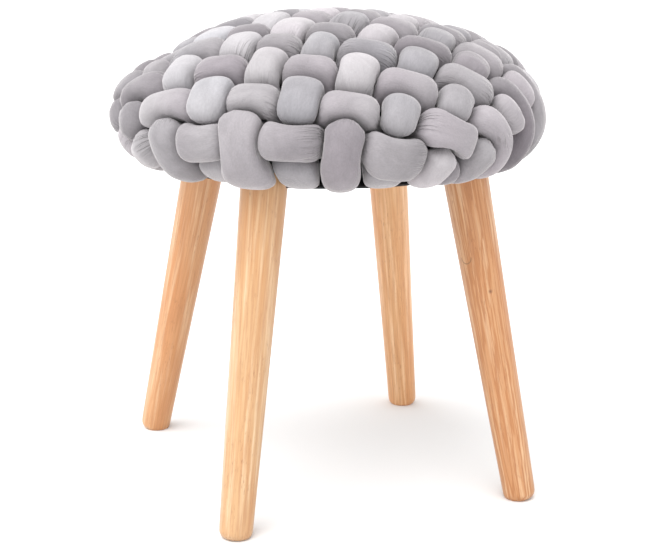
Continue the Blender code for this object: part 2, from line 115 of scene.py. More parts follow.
SHIFTS[:, :8] = np.transpose((ACROSS_MM, ALONG_MM), (2, 1, 0)) * 1e-3
FULL = np.ones((11, 14))
FULL[:, :8] = np.transpose(FULLNESS) * 1e-2

#   distance from the top, depth over, depth under, half-width, half-height
RIM_TABLE = (
    (0.000, 0.0165, 0.0315, 0.0262, 0.0172),
    (0.200, 0.0165, 0.0315, 0.0262, 0.0172),
    (0.240, 0.0165, 0.0315, 0.0265, 0.0170),
    (0.262, 0.0165, 0.0295, 0.0258, 0.0165),
    (0.285, 0.0155, 0.0230, 0.0250, 0.0150),
    (0.298, 0.0135, 0.0170, 0.0230, 0.0105),
    (0.3055, 0.0125, 0.0135, 0.0170, 0.0065),
    (0.313, 0.0133, 0.0135, 0.0110, 0.0048),
    (0.3215, 0.0142, 0.0142, 0.0085, 0.0042),
)
TUCK_END = 0.3215
TUCK_END_AT_LEG = 0.3055
LEG_REACH = math.radians(12)
END_SPACING = math.radians(5.4)
LEAVE_AHEAD = 0.006
#   tube, 0 for its front or left end and 1 for the other: (turn in degrees, rise out of the tuck)
TAILS = {("warp_07", 0): (3.2, 0.0), ("weft_01", 1): (3.0, 1.7)}
BASE_DEPTH = 0.0415
BASE_SKIRT = ((0.152, 0.323), (0.147, 0.316))
BASE_UNDERSIDE_Z = 0.316
CLOTH_RADIUS = 0.150
CLOTH_THICKNESS = 0.0015
CLOTH_Z = 0.3045
CLOTH_SAG = 0.0013  # in the middle
CLOTH_PULL = 0.0005  # how far its edge wavers up and down
HOLE_EASE = 0.0012  # between the cloth and a leg
CLOTH_RAYS = 240
CLOTH_RINGS = 16

LEG_TOP_Z = 0.3157
LEG_TOP_RADIUS = 0.0207
LEG_FOOT_RADIUS = 0.0147
LEG_ROUNDING = 0.008
LEG_SINK = 0.0016  # how far the foot reaches under the floor before it is cut level
LEG_SPREAD_TOP = 0.132
BEFORE_CUT = 1.05  # a leg's length before it is cut under the base, against its own
ROUNDING_FROM = 0.03  # part of the leg's length above which it is a plain cone
FOOT_STEPS = 12
#   name, direction in degrees, reach of the foot from the middle
LEGS = (
    ("leg_front_right", -46.5, 0.198),
    ("leg_front_left", -135.0, 0.195),
    ("leg_back_left", 132.0, 0.206),
    ("leg_back_right", 45.0, 0.192),
)

# --- fineness, and how the tubes press on each other ----------------------------------------

QUARTER = 240  # steps of the skin's outline from the top to the rim
SIDES = 44
STEP = 0.0023  # between rings
AXIS_STEP = 0.003
FINE = 20  # steps between two crossings
TAIL_POINTS = 60
TAIL_FADE = 25  # points after which a tail no longer pushes more or less than the table says
TAIL_SLACK = 0.6
SLACK_SWING = (0.25, 0.85)  # a tube is slack, and creases, below the one and taut above the other
SPREAD_ROUNDS = 400
SHARP_EDGE = math.radians(40)
BASE_ROWS = 33
BASE_SIDES = 96
LEG_ROWS = 52
LEG_SIDES = 72
SECTION_POWERS = (2.15, 2.3)  # of the lengthwise and the crosswise tubes; 2 is an oval
SOFT_POWER = 6.0  # how sharply a section turns from its free form to a pressed face
CONTACT_GAP = 0.0003
NEIGHBOUR_REACH = 0.055  # how far off another tube can still press
LEAST_TO_PAD = 0.003
THINNEST = 0.0012
TEXTURE_GIRTH = 0.018  # radius of the straight tube that the pattern is laid on
TEXTURE_APART = 0.1  # between the straight tubes
WARP_GIRTH = 0.97  # the lengthwise tubes' width against the table's
WEFT_GIRTH = 0.81  # and the crosswise tubes'
FLATTENED = 0.22  # how much wider a tube gets where it is under the others
WARP_RISE = 0.0004  # how much higher the lengthwise tubes ride over the others
RISE_SHARE = ((0.05, 0.15, 0.24, 0.28), (0.3, 1, 1, 0))  # distances from the top, share of it
STEEP = 0.8  # how suddenly a tube dives, from 0 to 1
OVER_PUSH = 0.27  # how much harder a tube pushes where it is over the others
PUSH_POWER = 1.8  # above 1, a tube already pushes less on its way down
LEAN = 0.08  # how far the pillows of the lengthwise tubes lean to the back, in crossings


# --- the seat's skin ------------------------------------------------------------------------


def skin_profile():
    """(distance from the top, radius, height) along the skin, from the top to under the rim"""
    turn = np.linspace(0, np.pi / 2, QUARTER + 1)
    radius = np.concatenate([SEAT_RADIUS * np.sin(turn),
                             SEAT_RADIUS - RIM_WIDTH * (1 - np.cos(turn[1:]))])
    height = np.concatenate([DOME_RISE * np.cos(turn), -RIM_DEPTH * np.sin(turn[1:])])
    step = np.hypot(np.diff(radius), np.diff(height))
    return np.concatenate([[0], np.cumsum(step)]), radius, height + RIM_Z


SKIN_RUN, SKIN_RADIUS, SKIN_HEIGHT = skin_profile()
SKIN_SLOPE_R = np.gradient(SKIN_RADIUS, SKIN_RUN)
SKIN_SLOPE_Z = np.gradient(SKIN_HEIGHT, SKIN_RUN)


def on_skin(flat):
    """the skin's points and outward normals at places given as distance and direction"""
    run = np.linalg.norm(flat, axis=-1) + 1e-9
    away = flat / run[..., None]
    radius = np.interp(run, SKIN_RUN, SKIN_RADIUS)
    height = np.interp(run, SKIN_RUN, SKIN_HEIGHT)
    out = -np.interp(run, SKIN_RUN, SKIN_SLOPE_Z)
    up = np.interp(run, SKIN_RUN, SKIN_SLOPE_R)
    size = np.hypot(out, up)
    points = np.concatenate([away * radius[..., None], height[..., None]], axis=-1)
    normals = np.concatenate([away * (out / size)[..., None], (up / size)[..., None]], axis=-1)
    points[..., :2] += MIDDLE
    return points, normals, run


def fuller(flat):
    """how far the upper tubes rise out of the even skin there"""
    total = np.zeros(flat.shape[:-1])
    for direction, distance, reach, rise in BUMPS:
        turn = math.radians(direction)
        off = flat - distance * np.array([math.cos(turn), math.sin(turn)])
        total += rise * np.exp(-(off**2).sum(-1) / reach**2)
    return total


ACROSS = np.array([math.cos(WEFT_TURN), math.sin(WEFT_TURN)])
ALONG = np.array([math.cos(WARP_TURN), math.sin(WARP_TURN)])


def net_place(across, along):
    """where warp line `across` meets weft line `along`, on the skin rolled out flat"""
    across = np.asarray(across, float)
    along = np.asarray(along, float)
    reach = across**2 / (1 + (np.abs(across) / GATHER_REACH) ** 6) ** (1 / 3)
    x = across * (1 + WARP_FLARE * along**2)
    y = along * (1 - WEFT_GATHER * reach)
    return x[..., None] * ACROSS + y[..., None] * ALONG


def wrap(angle):
    return (angle + math.pi) % (2 * math.pi) - math.pi


def unit(rows):
    return rows / np.linalg.norm(rows, axis=-1, keepdims=True)


# --- the tubes ------------------------------------------------------------------------------


class Tube:
    """one stuffed tube: its centre line, how high it rides, and its sections"""

    def __init__(self, name, is_warp, number):
        self.name = name
        self.is_warp = is_warp
        self.number = number
        self.at = (WARP_AT if is_warp else WEFT_AT)[number]
        self.others = WEFT_AT if is_warp else WARP_AT
        self.shifts = SHIFTS[number] if is_warp else SHIFTS[:, number]
        full = FULL[number] if is_warp else FULL[:, number]
        self.cross_index = [k for k, place in enumerate(self.others)
                            if np.linalg.norm(self.flat(place)) <= LAST_CROSSING]
        self.crossings = [(self.others[k], self.sign(k)) for k in self.cross_index]
        self.full = [full[k] if self.sign(k) > 0 else 1.0 for k in self.cross_index]

    def sign(self, other):
        """+1 where this tube passes over, -1 where it passes under"""
        weft_is_over = (self.number + other) % 2 == 0
        return 1 if weft_is_over != self.is_warp else -1

    def flat(self, place):
        """the line's place on the flat skin, with the shifts of its crossings eased in"""
        place = np.asarray(place, float)
        count = np.interp(place, self.others, np.arange(len(self.others)))
        before = np.minimum(count.astype(int), len(self.others) - 2)
        ease = count - before
        ease = (ease**2 * (3 - 2 * ease))[..., None]
        shift = self.shifts[before] * (1 - ease) + self.shifts[before + 1] * ease
        net = net_place(self.at, place) if self.is_warp else net_place(place, self.at)
        return net + shift[..., :1] * ACROSS + shift[..., 1:] * ALONG

    def leaving(self, last):
        """direction in which the tube leaves the weave, at its first or last end"""
        place = self.crossings[-1 if last else 0][0]
        x, y = self.flat(place + (LEAVE_AHEAD if last else -LEAVE_AHEAD))
        return math.atan2(y, x)

    def tail(self, last, turn):
        """a smooth line from the end crossing to the tuck under the base"""
        place = self.crossings[-1 if last else 0][0]
        step = 0.001 if last else -0.001
        start = self.flat(place)
        heading = unit(start - self.flat(place - step))
        near_leg = min(abs(wrap(turn - math.radians(leg[1]))) for leg in LEGS) < LEG_REACH
        away = np.array([math.cos(turn), math.sin(turn)])
        finish = away * (TUCK_END_AT_LEG if near_leg else TUCK_END)
        span = np.linalg.norm(finish - start)
        t = np.linspace(0, 1, TAIL_POINTS + 1)[1:, None]
        return ((2 * t**3 - 3 * t**2 + 1) * start + (t**3 - 2 * t**2 + t) * heading * span
                + (3 * t**2 - 2 * t**3) * finish + (t**3 - t**2) * away * span)

    def lay(self, first_turn, last_turn):
        """works out the centre line in even steps"""
        places, ride, push, full, slack = [], [], [], [], []
        lean = LEAN if self.is_warp else 0.0
        for k, ((here, side), (there, _)) in enumerate(zip(self.crossings, self.crossings[1:])):
            part = np.arange(FINE) / FINE
            places += list(self.flat(here + (there - here) * part))
            swing = side * np.cos(np.pi * (part - lean))
            push += list(2 * ((1 + swing) / 2) ** PUSH_POWER - 1)
            slack += list(np.interp(np.abs(swing), SLACK_SWING, (1, 0)))
            swing = 1.5 * swing - 0.5 * swing**3
            ride += list(swing + STEEP * 0.5 * (swing - swing**3))
            ease = (1 - np.cos(np.pi * part)) / 2
            full += list(self.full[k] * (1 - ease) + self.full[k + 1] * ease)
        (first_more, first_rise), (last_more, last_rise) = (
            TAILS.get((self.name, end), (0.0, 0.0)) for end in (0, 1))
        head = self.tail(False, first_turn + math.radians(first_more))[::-1]
        tail = self.tail(True, last_turn + math.radians(last_more))
        places.append(self.flat(self.crossings[-1][0]))
        flat = np.concatenate([head, places, tail])
        fade = np.interp(np.arange(TAIL_POINTS), (0, TAIL_FADE), (1, 0))
        push = np.concatenate([push[0] * fade[::-1], push, [push[-1]], push[-1] * fade])
        ride, slack, full = (np.concatenate([np.full(len(head), row[0]), row,
                                             np.full(len(tail) + 1, last)])
                             for row, last in ((ride, ride[-1]), (slack, TAIL_SLACK),
                                               (full, self.full[-1])))
        ease = np.clip(np.linspace(0, 2, TAIL_POINTS), 0, 1)
        ride[:TAIL_POINTS] += first_rise * ease[::-1]
        ride[-TAIL_POINTS:] += last_rise * ease
        rise = WARP_RISE if self.is_warp else 0.0
        rough = self.centre_line(flat, ride, rise)[0]
        run = np.concatenate([[0], np.cumsum(np.linalg.norm(np.diff(rough, axis=0), axis=1))])
        even = np.linspace(0, run[-1], round(run[-1] / STEP) + 1)
        self.along = even
        self.ride = np.interp(even, run, ride)
        push = np.interp(even, run, push)
        self.slack = np.interp(even, run, slack)
        flat = np.stack([np.interp(even, run, flat[:, k]) for k in (0, 1)], axis=-1)
        self.centre, self.normal, self.depth, table = self.centre_line(flat, self.ride, rise)
        self.width, self.height = table
        self.width = self.width * np.interp(even, run, full)
        self.strength = np.minimum(self.width, self.height) * (1 + OVER_PUSH * push)
        self.width = self.width * (WARP_GIRTH if self.is_warp else WEFT_GIRTH)
        self.width = self.width * (1 + FLATTENED * np.clip(-self.ride, 0, 1))
        forward = unit(np.gradient(self.centre, axis=0))
        self.side = unit(np.cross(self.normal, forward))
        self.up = np.cross(forward, self.side)
        self.thin = max(1, round(AXIS_STEP / STEP))
        self.axis = self.centre[::self.thin]

    @staticmethod
    def centre_line(flat, ride, rise):
        skin, normal, run = on_skin(flat)
        table = np.array(RIM_TABLE).T
        over, under, width, height = (np.interp(run, table[0], row) for row in table[1:])
        over = over - fuller(flat) - rise * np.interp(run, *RISE_SHARE)
        depth = (over * (1 + ride) + under * (1 - ride)) / 2
        return skin - normal * depth[:, None], normal, depth, (width, height)


def spread_ends(turns):
    """moves the directions of the tube ends apart, in order, to at least the end spacing"""
    order = np.argsort(turns)
    sorted_turns = np.array(turns)[order]
    for _ in range(SPREAD_ROUNDS):
        gap = np.diff(np.append(sorted_turns, sorted_turns[0] + 2 * np.pi))
        push = np.maximum(END_SPACING - gap, 0) / 2
        sorted_turns += np.roll(push, 1) - push
    spread = np.empty(len(turns))
    spread[order] = sorted_turns
    return spread


def weave():
    tubes = [Tube(f"warp_{n + 1:02d}", True, n) for n in range(len(WARP_AT))]
    tubes += [Tube(f"weft_{n + 1:02d}", False, n) for n in range(len(WEFT_AT))]
    turns = spread_ends([tube.leaving(last) for tube in tubes for last in (False, True)])
    for n, tube in enumerate(tubes):
        tube.lay(turns[2 * n], turns[2 * n + 1])
    return tubes


def blur(field, rows, columns):
    """a light smoothing of a field of sections; the columns run round the tube"""
    for _ in range(rows):
        padded = np.concatenate([field[:1], field, field[-1:]])
        field = (padded[:-2] + 2 * field + padded[2:]) / 4
    for _ in range(columns):
        field = (np.roll(field, 1, 1) + 2 * field + np.roll(field, -1, 1)) / 4
    return field


def sections(tube, tubes):
    """how far the tube reaches along each ray of its sections, and how hard it is pressed"""
    angle = np.pi / 2 + np.arange(SIDES) * 2 * np.pi / SIDES
    across, high = np.cos(angle), np.sin(angle)
    ray = across[:, None] * tube.side[:, None] + high[:, None] * tube.up[:, None]
    power = SECTION_POWERS[0 if tube.is_warp else 1]
    free = ((np.abs(across) / tube.width[:, None]) ** power
            + (np.abs(high) / tube.height[:, None]) ** power) ** (-1 / power)
    to_pad = np.maximum(BASE_DEPTH - CONTACT_GAP - tube.depth, LEAST_TO_PAD)
    down = -(ray * tube.normal[:, None]).sum(-1)
    limit = np.where(down > 1e-3, to_pad[:, None] / np.maximum(down, 1e-3), 1.0)
    for other in tubes:
        if other is tube:
            continue
        apart = other.axis[None] - tube.centre[:, None]
        far = (apart**2).sum(-1)
        rows = np.flatnonzero(far.min(1) < NEIGHBOUR_REACH**2)
        if not len(rows):
            continue
        near = np.flatnonzero(far.min(0) < NEIGHBOUR_REACH**2)
        apart, far = apart[np.ix_(rows, near)], far[np.ix_(rows, near)]
        facing = np.einsum("skd,sqd->skq", ray[rows], apart)
        push_back = other.strength[None, near * other.thin]
        reach = far + tube.strength[rows, None] ** 2 - push_back**2
        meet = np.where(facing > 1e-6, reach[:, None] / (2 * np.maximum(facing, 1e-6)), 1.0)
        limit[rows] = np.minimum(limit[rows], meet.min(-1) - CONTACT_GAP)
    limit = np.maximum(limit, THINNEST)
    radius = free * (1 + (free / limit) ** SOFT_POWER) ** (-1 / SOFT_POWER)
    press = np.clip(1 - limit / free, 0, 1)
    return ray, np.maximum(blur(radius, 2, 1), THINNEST), blur(press, 2, 2), angle


def loft(tube, tubes):
    """the tube's mesh, with its place on the straight tube and its press as attributes"""
    ray, radius, press, angle = sections(tube, tubes)
    rings = tube.centre[:, None] + ray * radius[..., None]
    points = np.concatenate([rings.reshape(-1, 3), tube.centre[:1], tube.centre[-1:]])
    count = len(tube.centre)
    one = (np.arange(count - 1)[:, None] * SIDES + np.arange(SIDES)).ravel()
    two = (np.arange(count - 1)[:, None] * SIDES + (np.arange(SIDES) + 1) % SIDES).ravel()
    quads = np.stack([one, two, two + SIDES, one + SIDES], axis=-1)
    first, last = count * SIDES, count * SIDES + 1
    faces = quads.tolist()
    for side in range(SIDES):
        after = (side + 1) % SIDES
        faces.append((first, after, side))
        faces.append((last, (count - 1) * SIDES + side, (count - 1) * SIDES + after))
    mesh = bpy.data.meshes.new(tube.name + "_velvet")
    mesh.from_pydata(points.tolist(), [], faces)
    mesh.shade_smooth()
    straight = np.stack([np.broadcast_to(tube.along[:, None], radius.shape),
                         np.broadcast_to(TEXTURE_GIRTH * np.cos(angle), radius.shape),
                         np.broadcast_to(TEXTURE_GIRTH * np.sin(angle), radius.shape)], axis=-1)
    straight = np.concatenate([straight.reshape(-1, 3), straight[0, :1], straight[-1, :1]])
    straight[:, 1] += TEXTURE_APART * tube.number + (TEXTURE_APART / 2 if tube.is_warp else 0.0)
    put(mesh, "straight", "FLOAT_VECTOR", "vector", straight)
    put(mesh, "press", "FLOAT", "value", np.append(press.ravel(), [1, 1]))
    pinch = tube.slack[:, None] * np.clip(np.sin(angle) + 0.6, 0, 1)
    put(mesh, "pinch", "FLOAT", "value", np.append(pinch.ravel(), [0, 0]))
    put(mesh, "tint", "FLOAT_COLOR", "color", tint_of(tube))
    return bpy.data.objects.new(tube.name + "_velvet", mesh)


def put(mesh, name, kind, field, values):
    layer = mesh.attributes.new(name, kind, "POINT")
    layer.data.foreach_set(field, np.asarray(values, np.float32).ravel())


# --- velvet tints ---------------------------------------------------------------------------

DARK = np.array([0.164, 0.152, 0.162])
PALE = np.array([0.433, 0.414, 0.426])
MAUVE = np.array([1.015, 0.978, 1.008])
BLUE = np.array([0.972, 1.002, 1.022])

TURN_FROM = 0.13  # part of a lengthwise tube's length where its front tone starts to turn
TURN_OVER = 0.14  # and the part over which it turns into the back one

# tone 0 is dark and 1 pale; hue -1 is blue-grey and +1 mauve. The lengthwise tubes' front tones
# are partly painted shade, darker where the rim's front gets less light, and partly the strands'
# own tone
#   tone at the front (partly painted shade), tone at the back, hue
WARP_TINTS = (
    (0.35, 0.40, 0.1),
    (0.35, 0.14, 0.0),
    (0.22, 0.37, -0.2),
    (0.40, 0.98, -0.5),
    (0.66, 0.88, -0.5),
    (0.46, 1.00, 0.3),
    (0.42, 0.48, -0.7),
    (0.27, 0.85, 0.3),
    (0.46, 0.34, -0.6),
    (0.85, 0.22, 0.2),
    (0.38, 0.66, 0.4),
)
#   tone at the left, tone at the right, hue
WEFT_TINTS = (
    (0.50, 0.24, 0.2),
    (0.80, 0.32, 0.4),
    (0.09, 0.62, 0.6),
    (0.30, 0.36, -0.2),
    (0.42, 0.00, 0.3),
    (0.16, 0.41, 0.2),
    (0.27, 0.25, 0.0),
    (0.45, 0.45, 0.3),
    (0.35, 0.30, 0.1),
    (0.45, 0.50, 0.3),
    (0.40, 0.30, -0.1),
    (0.45, 0.50, 0.2),
    (0.40, 0.35, 0.4),
    (0.45, 0.45, 0.0),
)


def waves(count, seed, length):
    """a smooth random line: `count` sines of about that wavelength, as a function"""
    chance = np.random.default_rng(seed)
    rate = 2 * np.pi / (length * chance.uniform(0.6, 1.8, count))
    phase = chance.uniform(0, 2 * np.pi, count)
    return lambda x: np.sin(np.multiply.outer(x, rate) + phase).mean(-1) * 1.6


def tint_of(tube):
    """the tint of each of the tube's points, in the order of its mesh; at a lengthwise tube's
    front it is partly painted shade
    """
    first, last, hue = (WARP_TINTS if tube.is_warp else WEFT_TINTS)[tube.number]
    seed = tube.number + (100 if tube.is_warp else 0)
    along = np.append(np.repeat(tube.along, SIDES), [tube.along[0], tube.along[-1]])
    part = along / along.max()
    part = np.clip((part - TURN_FROM) / TURN_OVER, 0, 1) if tube.is_warp else part
    tone = first + (last - first) * part + 0.10 * waves(5, seed, 0.09)(along)
    hue = hue + 0.5 * waves(5, seed + 50, 0.12)(along)
    tone = np.clip(tone, 0, 1)[:, None]
    hue = np.clip(hue, -1, 1)[:, None]
    colour = DARK * (1 - tone) + PALE * tone
    colour = colour * np.where(hue > 0, 1 + (MAUVE - 1) * hue, 1 - (BLUE - 1) * hue)
    return np.concatenate([colour, np.ones((len(colour), 1))], axis=1)


# --- materials ------------------------------------------------------------------------------


class Shader:
    """a few words for making node trees"""

    def __init__(self, name):
        self.material = bpy.data.materials.new(name)
        self.material.use_nodes = True
        self.tree = self.material.node_tree
        self.principled = self.tree.nodes["Principled BSDF"]

    def node(self, kind, inputs=None, **settings):
        made = self.tree.nodes.new(kind)
        for key, value in settings.items():
            setattr(made, key, value)
        for key, value in (inputs or {}).items():
            self.plug(value, made.inputs[key])
        return made

    def plug(self, value, socket):
        if isinstance(value, bpy.types.Node):
            value = next(out for out in value.outputs if out.enabled)
        if isinstance(value, bpy.types.NodeSocket):
            self.tree.links.new(value, socket)
        else:
            socket.default_value = value

    def attribute(self, name, output="Fac"):
        return self.node("ShaderNodeAttribute", attribute_name=name).outputs[output]

    def stretched(self, vector, scale):
        return self.node("ShaderNodeMapping", {"Vector": vector, "Scale": scale})

    def noise(self, vector, scale, detail=2.0, roughness=0.5, distortion=0.0):
        return self.node("ShaderNodeTexNoise", {"Vector": vector, "Scale": scale, "Detail": detail,
                                                "Roughness": roughness,
                                                "Distortion": distortion}).outputs["Fac"]

    def spread(self, value, low, high, to_low=0.0, to_high=1.0):
        return self.node("ShaderNodeMapRange", {"Value": value, "From Min": low, "From Max": high,
                                                "To Min": to_low, "To Max": to_high})

    def maths(self, operation, one, two=0.0):
        return self.node("ShaderNodeMath", {0: one, 1: two}, operation=operation)

    def mix(self, factor, one, two, blend="MIX"):
        made = self.tree.nodes.new("ShaderNodeMix")
        made.data_type = "RGBA"
        made.blend_type = blend
        self.plug(factor, made.inputs[0])
        self.plug(one, made.inputs[6])
        self.plug(two, made.inputs[7])
        return made.outputs[2]

    def bump(self, height, distance, normal=None):
        made = self.node("ShaderNodeBump", {"Height": height, "Distance": distance,
                                            "Strength": 1.0})
        if normal is not None:
            self.plug(normal, made.inputs["Normal"])
        return made

    def finish(self, **sockets):
        for key, value in sockets.items():
            self.plug(value, self.principled.inputs[key.replace("_", " ")])
        return self.material


def velvet():
    """brushed pile, cloudy along the tube, pinched into fine creases where a tube dives; painted
    shade darkens the creases
    """
    made = Shader("velvet")
    straight = made.attribute("straight", "Vector")
    tint = made.attribute("tint", "Color")
    clouds = made.noise(made.stretched(straight, (0.8, 0.7, 0.7)), 55.0, 6.0, 0.65, 0.8)
    streaks = made.noise(made.stretched(straight, (0.22, 1.0, 1.0)), 380.0, 3.0, 0.6)
    grain = made.noise(straight, 900.0, 3.0, 0.75)
    mottle_and_crease_shade = made.maths("MULTIPLY", made.spread(clouds, 0.3, 0.7, 0.875, 1.125),
                       made.spread(streaks, 0.3, 0.7, 0.975, 1.025))
    mottle_and_crease_shade = made.maths("MULTIPLY", mottle_and_crease_shade, made.spread(grain, 0.3, 0.7, 0.92, 1.08))
    wander = made.noise(made.stretched(straight, (0.16, 1.0, 1.0)), 210.0, 2.0, 0.5, 0.5)
    off_line = made.maths("ABSOLUTE", made.maths("SUBTRACT", wander, 0.5))
    line = made.spread(off_line, 0.0, 0.075, 1.0, 0.0)
    here = made.spread(made.noise(straight, 36.0, 1.0), 0.50, 0.62, 0.0, 1.0)
    pinched = made.maths("MULTIPLY", made.attribute("pinch"), here)
    crease_and_shade = made.maths("MULTIPLY", line, pinched)
    # the crease lines are darkened in the colour: painted shade in the creases
    mottle_and_crease_shade = made.maths("MULTIPLY", mottle_and_crease_shade, made.spread(crease_and_shade, 0.0, 1.0, 1.0, 0.90))
    colour = made.mix(1.0, tint, made.node("ShaderNodeCombineColor",
                                           {0: mottle_and_crease_shade, 1: mottle_and_crease_shade, 2: mottle_and_crease_shade}), "MULTIPLY")
    rumple = made.noise(made.stretched(straight, (0.30, 1.0, 1.0)), 150.0, 3.0, 0.55, 0.4)
    rumple = made.maths("MULTIPLY", rumple, made.spread(made.attribute("press"), 0.02, 0.40,
                                                        0.12, 1.0))
    normal = made.bump(grain, 0.0004, made.bump(crease_and_shade, -0.0012, made.bump(rumple, 0.0024)))
    return made.finish(Base_Color=colour, Roughness=0.95, Specular_IOR_Level=0.15,
                       Sheen_Weight=0.75, Sheen_Roughness=0.33,
                       Sheen_Tint=(1.0, 0.965, 0.97, 1.0), Normal=normal)


def black_cloth():
    made = Shader("black_cloth")
    place = made.node("ShaderNodeTexCoord").outputs["Object"]
    threads = made.noise(place, 900.0, 2.0, 0.6)
    fade = made.noise(place, 35.0, 3.0)
    colour = made.mix(fade, (0.012, 0.012, 0.013, 1), (0.028, 0.028, 0.030, 1))
    return made.finish(Base_Color=colour, Roughness=0.9, Sheen_Weight=0.15,
                       Normal=made.bump(threads, 0.0003))


KNOT = (0.0145, 0.0113, 0.2002)  # on the front right leg, in the leg's own frame
ARC = (0.0182, -0.0054, 0.2335)
ARC_RADIUS = 0.0055
KNOT_COLOUR = (0.16, 0.06, 0.025, 1)
ARC_COLOUR = (0.20, 0.10, 0.04, 1)


def wood(name, seed, streak, warm, light, marked):
    """light hardwood; `streak` is how strongly the year rings show, `warm` how orange it is and
    `light` its colour against the others, raised on the legs that stand in shade as painted light"""
    # scales a colour by `light`, which brightens the legs in shade: painted light
    def paint(*colour):
        return (*np.multiply(colour, light), 1)

    made = Shader(name)
    grain = made.attribute("grain", "Vector")
    shifted = made.node("ShaderNodeMapping", {"Vector": grain,
                                              "Location": (seed, 0.3 * seed, seed)})
    wander = made.noise(made.stretched(shifted, (1, 1, 0.14)), 34.0, 4.0, 0.55)
    rings = made.node("ShaderNodeTexWave", {"Vector": made.stretched(shifted, (1, 1, 0.055)),
                                            "Scale": 105.0, "Distortion": 11.0, "Detail": 4.0,
                                            "Detail Scale": 1.8, "Detail Roughness": 0.6},
                      bands_direction="X", wave_profile="SIN").outputs["Fac"]
    fibres = made.noise(made.stretched(shifted, (1, 1, 0.035)), 620.0, 3.0, 0.7)
    pale_lines = made.noise(made.stretched(shifted, (1, 1, 0.03)), 210.0, 2.0, 0.5)
    dashes = made.noise(made.stretched(shifted, (1, 1, 0.15)), 1100.0, 2.0, 0.5)
    where = made.noise(made.stretched(shifted, (1, 1, 0.4)), 60.0, 2.0)
    base = made.mix(made.spread(wander, 0.32, 0.68), paint(0.480, 0.215, 0.080),
                    paint(0.550, 0.340, 0.175))
    base = made.mix(warm, base, paint(0.480, 0.180, 0.058))
    lighter = made.mix(made.spread(pale_lines, 0.50, 0.68, 0.0, 0.75), base,
                       paint(0.660, 0.440, 0.260))
    ringed = made.mix(made.maths("MULTIPLY", made.spread(rings, 0.40, 0.95), streak), lighter,
                      paint(0.400, 0.160, 0.050))
    lined = made.mix(made.spread(fibres, 0.44, 0.68, 0.0, 0.50), ringed,
                     paint(0.35, 0.145, 0.058))
    short = made.maths("MULTIPLY", made.spread(dashes, 0.60, 0.72),
                       made.spread(where, 0.40, 0.60))
    dotted = made.mix(made.maths("MULTIPLY", short, 0.55), lined, paint(0.25, 0.10, 0.038))
    if marked:
        knot = made.node("ShaderNodeVectorMath", {0: grain, 1: KNOT}, operation="DISTANCE")
        dark = made.spread(knot.outputs["Value"], 0.0005, 0.0024, 0.8, 0.0)
        dotted = made.mix(dark, dotted, KNOT_COLOUR)
        bow = made.node("ShaderNodeVectorMath", {0: grain, 1: ARC}, operation="DISTANCE")
        off = made.maths("ABSOLUTE", made.maths("SUBTRACT", bow.outputs["Value"], ARC_RADIUS))
        height = made.node("ShaderNodeSeparateXYZ", {"Vector": grain}).outputs["Z"]
        low = made.spread(height, ARC[2] - 0.001, ARC[2] + 0.001, 0.75, 0.0)
        line = made.maths("MULTIPLY", made.spread(off, 0.0002, 0.0008, 1.0, 0.0), low)
        dotted = made.mix(line, dotted, ARC_COLOUR)
    height = made.maths("SUBTRACT", fibres, short)
    return made.finish(Base_Color=dotted, Roughness=0.45, Specular_IOR_Level=0.45,
                       Coat_Weight=0.2, Coat_Roughness=0.3,
                       Normal=made.bump(height, 0.0001))


#     seed, year rings, warmth, colour (raised on the back legs as painted light against their
#     shade), with the knot; in the order of LEGS
WOOD_LOOKS = (
    (1.7, 0.85, 0.30, (1.00, 0.99, 0.99), True),
    (4.2, 0.20, 0.05, (1.03, 1.12, 1.19), False),
    (6.1, 0.30, 0.35, (1.10, 1.13, 1.17), False),
    (8.3, 0.25, 0.25, (1.34, 1.40, 1.44), False),
)


# --- base, bottom cloth and legs ------------------------------------------------------------


def turned(name, profile, steps):
    """a solid of revolution; the profile runs down its outer side, from axis to axis"""
    profile = np.array(profile)
    ring = np.arange(steps) * 2 * np.pi / steps
    points = [(x * math.cos(a), x * math.sin(a), z) for x, z in profile[1:-1] for a in ring]
    points += [(0, 0, profile[0][1]), (0, 0, profile[-1][1])]
    top, bottom = len(points) - 2, len(points) - 1
    faces = []
    rows = len(profile) - 2
    for side in range(steps):
        after = (side + 1) % steps
        faces.append((top, side, after))
        faces.append((bottom, (rows - 1) * steps + after, (rows - 1) * steps + side))
        for row in range(rows - 1):
            here = row * steps
            faces.append((here + side, here + steps + side, here + steps + after, here + after))
    mesh = bpy.data.meshes.new(name)
    mesh.from_pydata(points, [], faces)
    mesh.shade_smooth()
    mesh.set_sharp_from_angle(angle=SHARP_EDGE)
    return bpy.data.objects.new(name, mesh)


def make_base():
    run = np.linspace(0, SKIN_RUN[QUARTER], BASE_ROWS)
    skin, normal, _ = on_skin(np.stack([run, np.zeros(BASE_ROWS)], axis=-1))
    pad = skin - np.array([*MIDDLE, 0]) - normal * (BASE_DEPTH - CONTACT_GAP)
    profile = [(0.0, pad[0][2])] + [(x, z) for x, _, z in pad.tolist()[1:]]
    profile += [*BASE_SKIRT, (0.0, BASE_UNDERSIDE_Z)]
    item = turned("seat_base_cloth", profile, BASE_SIDES)
    item.location = (*MIDDLE, 0)
    return item


